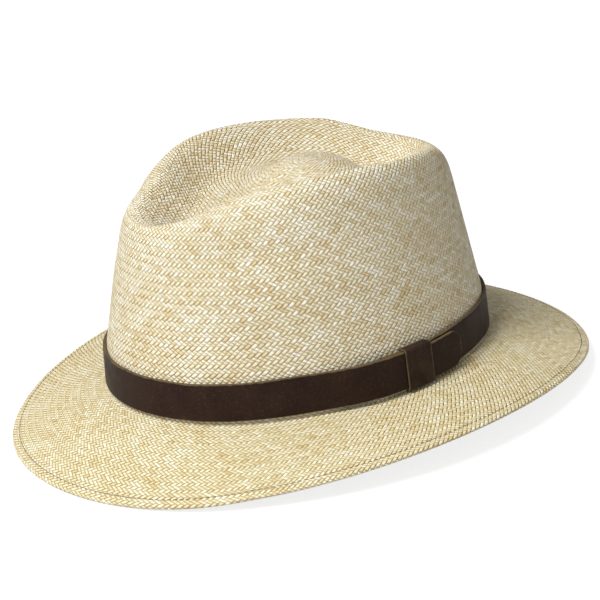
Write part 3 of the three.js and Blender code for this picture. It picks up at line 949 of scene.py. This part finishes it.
def band_inner(hat, band, degrees):
    """Inner face of the band: it hugs the crown, stands off behind the keeper, and laps over its own end"""
    standoff, _, start, end, _ = band_angles(hat, band)
    hug = hat.straw_out + band.gap
    outer = standoff + band.thickness + band.gap
    first = standoff + (hug - standoff) * smooth((degrees - end) / CLOSING_TURN)
    last = hug + (outer - hug) * smooth((degrees - (360 + start - LAPPING_TURN)) / LAPPING_TURN)
    return np.where(degrees <= 180, first, last)


def build_band(hat, band):
    """The strap from its underlap once round to the rounded tip of its tongue"""
    _, per, start, _, tongue = band_angles(hat, band)
    corner = band.tongue_corner * per
    body = np.linspace(start, 360 + tongue - corner, 420)
    tip = 360 + tongue - corner * (1 - np.sin(np.linspace(0, math.pi / 2, 10)[1:]))
    degrees = np.concatenate([body, tip])
    left = (360 + tongue - degrees) / per
    inside = np.clip(band.tongue_corner - left, 0, band.tongue_corner)
    cut = band.tongue_corner - np.sqrt(band.tongue_corner**2 - inside**2)
    depth, height, share = rounded_section(band.thickness, band.height, STRAP_CORNER)
    inner = band_inner(hat, band, degrees)
    offset = inner[:, None] + depth[None, :]
    middle = band.height / 2
    squeeze = (middle - cut) / middle
    wave = STRAP_WAVE * (np.sin(np.radians(degrees) * 7) + np.sin(np.radians(degrees) * 17 + 1))
    wave -= TONGUE_DROP * smooth((degrees - 357 - band.keeper_angle) / 4)
    z = band.bottom + middle + (height[None, :] - middle) * squeeze[:, None] + wave[:, None] * share[None, :]
    tip_share = np.clip(1 - np.minimum(left, (degrees - start) / per) / middle, 0, 1)
    off = np.maximum(np.abs(2 * share - 1)[None, :], tip_share[:, None])
    across = 0.5 + 0.5 * off * np.where(share < 0.5, -1, 1)[None, :]
    obj = sweep("band_leather", hat, np.radians(degrees), offset, z, across)
    close_ends(obj)
    soften(obj, 50)
    return obj


def build_keeper(hat, band):
    """The keeper: a flat loop of thin leather round the strap and its tongue"""
    standoff, per, _, _, _ = band_angles(hat, band)
    t = band.keeper_thickness
    low = hat.straw_out + band.gap
    high = standoff + 2 * band.thickness + 2 * band.gap + t
    bottom = band.bottom - band.gap - t
    tall = band.height + 2 * (band.gap + t)
    depth, height, _ = rounded_section(high - low, tall, KEEPER_CORNER, faces=12, corner=5)
    columns = 24
    place_on = np.linspace(-1, 1, columns + 1)
    degrees = band.keeper_angle + band.keeper_width / 2 * per * place_on
    offset = same_section(low + depth, columns + 1)
    z = same_section(bottom + height, columns + 1)
    across = same_section((place_on + 1) / 2, len(depth)).T
    obj = sweep("keeper_loop", hat, np.radians(degrees), offset, z, across)
    apply_modifier(obj, "SOLIDIFY", thickness=t, offset=-1, use_rim=True)
    round_edges(obj, 0.0002, 60)
    soften(obj, 50)
    return obj


def full_turn(steps=360):
    return np.linspace(0, 2 * math.pi, steps + 1)


def build_sweatband(hat, band):
    angle = full_turn()
    thick, tall = band.sweatband_thickness, band.sweatband_height
    depth, height, share = rounded_section(thick, tall, SWEATBAND_CORNER, faces=14, corner=3)
    offset, z, across = (same_section(v, len(angle)) for v in (depth, SWEATBAND_BOTTOM + height, share))
    obj = sweep("sweatband_strip", hat, angle, offset, z, across)
    soften(obj, 50)
    return obj


def build_rod(name, hat, offset, z, radius, sides=10):
    angle = full_turn()
    t = np.linspace(0, 2 * math.pi, sides, endpoint=False)
    o = same_section(offset + radius * np.cos(t), len(angle))
    h = same_section(z + radius * np.sin(t), len(angle))
    obj = sweep(name, hat, angle, o, h, 0 * h)
    soften(obj, 80)
    return obj


def reed_height(band):
    return SWEATBAND_BOTTOM - band.gap - REED_RADIUS


def build_binding(hat, band):
    """Tape folded under the reed, with a longer leg on the sweatband's face"""
    gap, t = band.gap, TAPE_THICKNESS
    reed_z = reed_height(band)
    outer = band.sweatband_thickness / 2 + REED_RADIUS + TAPE_SLACK
    floor = reed_z - REED_RADIUS - gap
    short_leg = reed_z + REED_RADIUS / 2
    leg = SWEATBAND_BOTTOM + TAPE_LEG
    section = [
        (-gap - t, floor - t),
        (outer + t, floor - t),
        (outer + t, short_leg),
        (outer, short_leg),
        (outer, floor),
        (-gap, floor),
        (-gap, leg),
        (-gap - t, leg),
    ]
    angle = full_turn()
    o, h = (same_section(side, len(angle)) for side in np.array(section).T)
    obj = sweep("binding_tape", hat, angle, o, h, 0 * h + np.linspace(0, 1, len(section))[None, :])
    round_edges(obj, 0.00012, 50)
    soften(obj, 50)
    return obj


# ---------------------------------------------------------------- stitches


def stitch_model(long, wide, high):
    """One stitch: a small bean of thread"""
    deselect()
    bpy.ops.mesh.primitive_uv_sphere_add(segments=8, ring_count=6, radius=0.5)
    obj = bpy.context.object
    bpy.ops.object.mode_set(mode="EDIT")
    bpy.ops.mesh.select_all(action="SELECT")
    bpy.ops.transform.rotate(value=math.pi / 2, orient_axis="Y", center_override=(0, 0, 0))
    bpy.ops.transform.resize(value=(long, wide, high))
    bpy.ops.object.mode_set(mode="OBJECT")
    return obj


def remove(obj):
    bpy.data.meshes.remove(obj.data)


def stitch_places(path, pitch):
    """Places at equal steps along a closed path, counted in its points"""
    run = distance_along(path)
    number = int(run[-1] / pitch)
    return np.interp((np.arange(number) + 0.5) / number * run[-1], run, np.arange(len(run)))


def build_hem_stitches(hat):
    """A row of stitches on the brim and one under its hem"""
    angle = full_turn(PATH_STEPS)
    out = lambda a: brim_width(hat, a) - hat.stitch_inset
    path = brim_point(hat, angle, out(angle))
    model = stitch_model(*HEM_STITCH)
    made = []
    for name, side in (("hem_stitches_top", 1), ("hem_stitches_under", -1)):
        places = []
        for s in stitch_places(path, STITCH_PITCH):
            a = np.array([np.interp(s, np.arange(PATH_STEPS + 1), angle)])
            seam = lambda turn: brim_point(hat, a + turn, out(a + turn))[0]
            p = seam(0)
            along = seam(0.002) - seam(-0.002)
            outward = brim_point(hat, a, out(a) + MM)[0] - p
            along /= np.linalg.norm(along)
            outward /= np.linalg.norm(outward)
            normal = np.cross(outward, along)
            normal *= np.sign(normal[2])
            deep = 0.0 if side > 0 else 2 * (hat.straw_thickness + HEM_PLAY)
            swing = outward * STITCH_WANDER * math.sin(s * 91.7)
            origin = p + normal * (side * (deep + STITCH_LIFT)) + swing
            places.append((origin, along, outward, normal))
        obj = copies(name, model, places)
        soften(obj, 80)
        made.append(obj)
    remove(model)
    return made


def build_sweatband_stitches(hat, band):
    """Stitches through the tape's longer leg, halfway up it"""
    angle = full_turn(PATH_STEPS)
    offset = -band.gap - TAPE_THICKNESS
    z = SWEATBAND_BOTTOM + TAPE_LEG / 2
    path = strip_place(hat, angle, offset, z)
    model = stitch_model(*SWEATBAND_STITCH)
    places = []
    for s in stitch_places(path, STITCH_PITCH):
        a = np.array([np.interp(s, np.arange(PATH_STEPS + 1), angle)])
        p = strip_place(hat, a, offset, z)[0]
        along = np.array([math.cos(a[0]), math.sin(a[0]), 0.0])
        outward = np.array([math.sin(a[0]), -math.cos(a[0]), 0.0])
        places.append((p - outward * STITCH_LIFT, along, np.array([0, 0, 1.0]), outward))
    obj = copies("sweatband_stitches", model, places)
    remove(model)
    soften(obj, 80)
    return obj


def build_back_seam(hat, band):
    """Zigzag thread over the butted ends of the sweatband"""
    end_shade = 0.002
    first = SWEATBAND_BOTTOM + TAPE_LEG + end_shade
    last = SWEATBAND_BOTTOM + band.sweatband_height - end_shade
    half_width, lift, count = 0.0016, 0.00012, 14
    points = []
    for i in range(count + 1):
        z = first + (last - first) * i / count
        p = strip_place(hat, np.array([math.pi]), -lift, z)[0]
        points.append((p[0] + (half_width if i % 2 else -half_width), p[1], z))
    curve = bpy.data.curves.new("sweatband_zigzag", "CURVE")
    curve.dimensions = "3D"
    curve.bevel_depth = 0.00025
    curve.bevel_resolution = 2
    curve.use_fill_caps = True
    spline = curve.splines.new("POLY")
    spline.points.add(count)
    for point, p in zip(spline.points, points):
        point.co = (*p, 1)
    obj = bpy.data.objects.new("sweatband_zigzag", curve)
    bpy.context.collection.objects.link(obj)
    choose(obj)
    bpy.ops.object.convert(target="MESH")
    obj = bpy.context.object
    soften(obj, 80)
    return obj


# ---------------------------------------------------------------- operators


class HatOperator:
    """What the hat's operators share"""

    bl_options = {"REGISTER", "UNDO"}


class HAT_OT_straw_body(HatOperator, Operator):
    """Make the woven straw crown and brim as one piece"""

    bl_idname = "hat.straw_body"
    bl_label = "Straw Body"

    def execute(self, context):
        obj = build_straw(context.scene.hat_shape)
        finish_piece(obj, straw_material(context.scene.hat_colours), "hat", ["straw_body"])
        return {"FINISHED"}


class HAT_OT_hem_stitches(HatOperator, Operator):
    """Sew the hem with a row of stitches above and below the brim"""

    bl_idname = "hat.hem_stitches"
    bl_label = "Hem Stitches"

    def execute(self, context):
        top, under = build_hem_stitches(context.scene.hat_shape)
        material = thread_material("Hem Thread", context.scene.hat_colours.hem_thread)
        finish_piece(top, material, "hat", ["hem_thread_top"])
        finish_piece(under, material, "hat", ["hem_thread_under"])
        return {"FINISHED"}


class HAT_OT_band(HatOperator, Operator):
    """Make the leather band and the keeper that slides on it"""

    bl_idname = "hat.band"
    bl_label = "Leather Band"

    def execute(self, context):
        scene = context.scene
        band = build_band(scene.hat_shape, scene.hat_band)
        finish_piece(band, band_material(scene.hat_colours), "hat", ["band_strap"])
        keeper = build_keeper(scene.hat_shape, scene.hat_band)
        leather = band_material(scene.hat_colours, "Waxed Keeper Leather", 0.1, 0.5)
        finish_piece(keeper, leather, "keeper", ["band_keeper"])
        return {"FINISHED"}


class HAT_OT_sweatband(HatOperator, Operator):
    """Make the sweatband with its reed, tape and stitching"""

    bl_idname = "hat.sweatband"
    bl_label = "Sweatband"

    def execute(self, context):
        scene = context.scene
        hat, band, colours = scene.hat_shape, scene.hat_band, scene.hat_colours
        strip = build_sweatband(hat, band)
        finish_piece(strip, sweatband_material(colours), "hat", ["sweatband"])
        reed = build_rod("reed_cord", hat, band.sweatband_thickness / 2, reed_height(band), REED_RADIUS)
        finish_piece(reed, reed_material(colours), "hat", ["sweatband_reed"])
        tape = build_binding(hat, band)
        finish_piece(tape, tape_material(colours), "hat", ["sweatband_binding"])
        thread = thread_material("Sewing Thread", colours.thread)
        stitches = build_sweatband_stitches(hat, band)
        finish_piece(stitches, thread, "hat", ["sweatband_stitch"])
        zigzag = build_back_seam(hat, band)
        finish_piece(zigzag, thread, "hat", ["sweatband_back_seam"])
        return {"FINISHED"}


# ---------------------------------------------------------------- lamps, floor and camera


def area_light(name, azimuth, elevation, distance, size, power, target=Vector((0, 0, 0.03))):
    light = bpy.data.lights.new(name, "AREA")
    light.shape = "DISK"
    light.size = size
    light.energy = power
    obj = bpy.data.objects.new(name, light)
    a, e = math.radians(azimuth), math.radians(elevation)
    away = Vector((math.sin(a) * math.cos(e), -math.cos(a) * math.cos(e), math.sin(e)))
    obj.location = target + distance * away
    obj.rotation_euler = (-away).to_track_quat("-Z", "Y").to_euler()
    bpy.context.collection.objects.link(obj)
    return obj


def floor_material(colours):
    """A pale floor that looks nearly white to the camera and keeps the hat's soft shadow"""
    material = bpy.data.materials.new("Pale Floor")
    material.use_nodes = True
    tree = material.node_tree
    tree.nodes.clear()
    out = tree.nodes.new("ShaderNodeOutputMaterial")
    paper = tree.nodes.new("ShaderNodeBsdfDiffuse")
    seen = tree.nodes.new("ShaderNodeBsdfDiffuse")
    glow = tree.nodes.new("ShaderNodeEmission")
    lift = tree.nodes.new("ShaderNodeAddShader")
    choice = tree.nodes.new("ShaderNodeMixShader")
    path = tree.nodes.new("ShaderNodeLightPath")
    paper.inputs["Color"].default_value = rgba(tuple(0.8 * c for c in colours.floor))
    seen.inputs["Color"].default_value = rgba(tuple(0.3 * c for c in colours.floor))
    far = tree.nodes.new("ShaderNodeVectorMath")
    far.operation = "LENGTH"
    tree.links.new(object_coordinates(tree), far.inputs[0])
    feed(tree, glow.inputs["Strength"], ramp(tree, far.outputs["Value"], 0.3, 1.1, 0.82, 1.0))
    tree.links.new(seen.outputs[0], lift.inputs[0])
    tree.links.new(glow.outputs[0], lift.inputs[1])
    tree.links.new(path.outputs["Is Camera Ray"], choice.inputs["Fac"])
    tree.links.new(paper.outputs[0], choice.inputs[1])
    tree.links.new(lift.outputs[0], choice.inputs[2])
    tree.links.new(choice.outputs[0], out.inputs["Surface"])
    return material


def white_world(strength):
    """An even white sky at a strength, seen by the camera as full white"""
    world = bpy.data.worlds.new("Studio")
    bpy.context.scene.world = world
    world.use_nodes = True
    tree = world.node_tree
    background = next(n for n in tree.nodes if n.type == "BACKGROUND")
    background.inputs["Color"].default_value = (1, 1, 1, 1)
    path = tree.nodes.new("ShaderNodeLightPath")
    seen = math_node(tree, "MULTIPLY", path.outputs["Is Camera Ray"], 1 - strength)
    feed(tree, background.inputs["Strength"], math_node(tree, "ADD", seen, strength))


def add_camera():
    """A long lens to the wearer's left of the front, above the crown and rolled a little"""
    data = bpy.data.cameras.new("Camera")
    data.sensor_width = 36
    data.lens = 113.72
    data.clip_end = 20
    camera = bpy.data.objects.new("Camera", data)
    camera.location = (0.78899, -0.48668, 0.37107)
    aim = Vector((0.00742, -0.00171, 0.02989))
    level = (aim - camera.location).to_track_quat("-Z", "Y")
    roll = Quaternion((0, 0, 1), math.radians(-5.754))
    camera.rotation_euler = (level @ roll).to_euler()
    bpy.context.collection.objects.link(camera)
    bpy.context.scene.camera = camera


class HAT_OT_stage(HatOperator, Operator):
    """Add the pale floor, the lamps and the camera"""

    bl_idname = "hat.stage"
    bl_label = "Stage"

    def execute(self, context):
        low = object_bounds()[0][2]
        deselect()
        bpy.ops.mesh.primitive_plane_add(size=12, location=(0, 0, 0))
        floor = context.object
        floor.name = "floor"
        for vertex in floor.data.vertices:
            vertex.co.z = low - 0.0002
        floor.data.materials.append(floor_material(context.scene.hat_colours))
        lamps = [
            area_light("key", azimuth=10, elevation=57, distance=1.8, size=0.8, power=35),
            area_light("fill", azimuth=52, elevation=36, distance=2.0, size=1.2, power=4),
        ]
        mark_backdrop(floor, *lamps)
        white_world(0.29)
        add_camera()
        view = context.scene.view_settings
        view.view_transform = "Standard"
        return {"FINISHED"}


class HAT_PT_panel(Panel):
    """Makes the hat piece by piece"""

    bl_label = "Straw Hat"
    bl_idname = "HAT_PT_panel"
    bl_space_type = "VIEW_3D"
    bl_region_type = "UI"
    bl_category = "Straw Hat"

    def draw(self, context):
        for operator in PIECES:
            self.layout.operator(operator.bl_idname)
        for group in (context.scene.hat_shape, context.scene.hat_band, context.scene.hat_colours):
            box = self.layout.box()
            for name in group.__annotations__:
                box.prop(group, name)


PIECES = (HAT_OT_straw_body, HAT_OT_hem_stitches, HAT_OT_band, HAT_OT_sweatband, HAT_OT_stage)
CLASSES = (HatShape, BandShape, HatColours, *PIECES, HAT_PT_panel)


def register():
    for cls in CLASSES:
        bpy.utils.register_class(cls)
    bpy.types.Scene.hat_shape = PointerProperty(type=HatShape)
    bpy.types.Scene.hat_band = PointerProperty(type=BandShape)
    bpy.types.Scene.hat_colours = PointerProperty(type=HatColours)


def unregister():
    del bpy.types.Scene.hat_colours
    del bpy.types.Scene.hat_band
    del bpy.types.Scene.hat_shape
    for cls in reversed(CLASSES):
        bpy.utils.unregister_class(cls)


def main():
    register()
    bpy.ops.hat.straw_body()
    bpy.ops.hat.hem_stitches()
    bpy.ops.hat.band()
    bpy.ops.hat.sweatband()
    bpy.ops.hat.stage()


if __name__ == "__main__":
    main()
